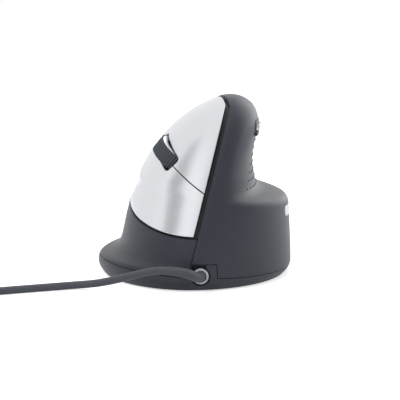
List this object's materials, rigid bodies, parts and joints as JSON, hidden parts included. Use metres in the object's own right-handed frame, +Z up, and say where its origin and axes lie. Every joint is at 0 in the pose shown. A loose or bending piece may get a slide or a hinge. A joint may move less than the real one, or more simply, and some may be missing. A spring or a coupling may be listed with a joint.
{
  "type": "vertical ergonomic mouse",
  "caption": "Upright right-handed mouse with two silver finger buttons, a scroll wheel between them, thumb buttons over a studded thumb rest, and a corded plug.",
  "frame": {"origin": "middle of the mouse's own box on the desk, without the cord: centred between its sides and ends, at the height that it stands on", "axes": "+X towards the thumb's side, -Y towards the front where the cord leaves, +Z up"},
  "size_m": [0.2634, 0.1397, 0.0978],
  "materials": {
    "tray_black": "fine moulded texture, satin",
    "shell_grey": "soft-touch satin, anthracite",
    "groove_black": "plain moulded, black",
    "panel_silver": "satin silver lacquer over plastic",
    "wheel_silver": "satin silver",
    "button_silver": "bright silver lacquer",
    "tyre_rubber": "ribbed rubber",
    "cord_rubber": "satin jacket, dark grey",
    "gland_grey": "light grey moulding",
    "foot_slip": "low-friction pad, mid grey",
    "board_green": "green circuit board",
    "chip_black": "moulded package",
    "connector_white": "natural nylon",
    "can_metal": "bright can",
    "steel": "plated steel",
    "plated_shell": "bright nickel plating",
    "contact_gold": "gold plated",
    "lens_clear": "clear moulded lens",
    "ribbon_grey": "flat ribbon jacket",
    "switch_black": "switch housing",
    "plunger_white": "switch plunger",
    "strap_black": "woven strap"
  },
  "bodies": {
    "mouse": {"base_tray": "tray_black", "thumb_shell": "shell_grey", "flank_shell": "shell_grey", "button_frame": "groove_black", "glide_feet": "foot_slip", "case_screws": "steel", "frame_screws": "steel", "side_plate": "button_silver", "grip_studs": "shell_grey", "button_hinge_pin": "steel", "carrier_pin": "steel", "switch_board": "board_green", "middle_switch": "switch_black", "index_switch": "switch_black", "wheel_click_switch": "switch_black", "switch_board_screws": "steel", "thumb_bezel": "groove_black", "thumb_board": "board_green", "thumb_switches": "switch_black", "thumb_board_screws": "steel", "main_board": "board_green", "main_board_screws": "steel", "sensor_lens": "lens_clear", "sensor_chip": "chip_black", "controller_chip": "chip_black", "capacitors_and_crystal": "can_metal", "cord_socket": "connector_white", "ribbon_sockets": "connector_white", "switch_ribbon": "ribbon_grey", "thumb_ribbon": "ribbon_grey", "cable_gland": "gland_grey", "inner_lead": "cord_rubber", "strain_relief": "cord_rubber", "cord": "cord_rubber", "cord_coil": "cord_rubber", "coil_tie": "strap_black", "cord_tail": "cord_rubber", "plug_body": "cord_rubber", "plug_shell": "plated_shell", "plug_insert": "connector_white", "plug_contacts": "contact_gold"},
    "index_button": {"index_button": "panel_silver", "index_plunger": "plunger_white"},
    "middle_button": {"middle_button": "panel_silver", "middle_plunger": "plunger_white"},
    "carrier": {"wheel_carrier": "connector_white", "wheel_encoder": "switch_black"},
    "wheel": {"wheel_hub": "wheel_silver", "wheel_tyre": "tyre_rubber", "wheel_axle": "steel"},
    "forward_button": {"forward_button": "button_silver"},
    "back_button": {"back_button": "button_silver"}
  },
  "joints": [
    {"name": "index_press", "type": "hinge", "parent": "mouse", "child": "index_button", "pos_m": [-0.00403, 0.01794, 0.07399], "axis": [0.6203, -0.2001, 0.7584], "range_deg": [0, 0.7], "stiffness_Nm_per_rad": 1.6, "springref_deg": -0.34},
    {"name": "middle_press", "type": "hinge", "parent": "mouse", "child": "middle_button", "pos_m": [-0.00403, 0.01794, 0.07399], "axis": [0.6203, -0.2001, 0.7584], "range_deg": [0, 0.7], "stiffness_Nm_per_rad": 1.6, "springref_deg": -0.34},
    {"name": "wheel_click", "type": "hinge", "parent": "mouse", "child": "carrier", "pos_m": [-0.01117, -0.00996, 0.07246], "axis": [0.6203, -0.2001, 0.7584], "range_deg": [0, 1], "stiffness_Nm_per_rad": 1.2, "springref_deg": -0.57},
    {"name": "wheel_spin", "type": "hinge", "parent": "carrier", "child": "wheel", "pos_m": [-0.0093, -0.029, 0.0659], "axis": [0.6203, -0.2001, 0.7584], "continuous": true},
    {"name": "forward_press", "type": "slide", "parent": "mouse", "child": "forward_button", "axis": [-1, 0, 0], "range_m": [0, 0.0007], "stiffness_N_per_m": 850, "springref_m": -0.0001},
    {"name": "back_press", "type": "slide", "parent": "mouse", "child": "back_button", "axis": [-1, 0, 0], "range_m": [0, 0.0007], "stiffness_N_per_m": 850, "springref_m": -0.0001}
  ]
}
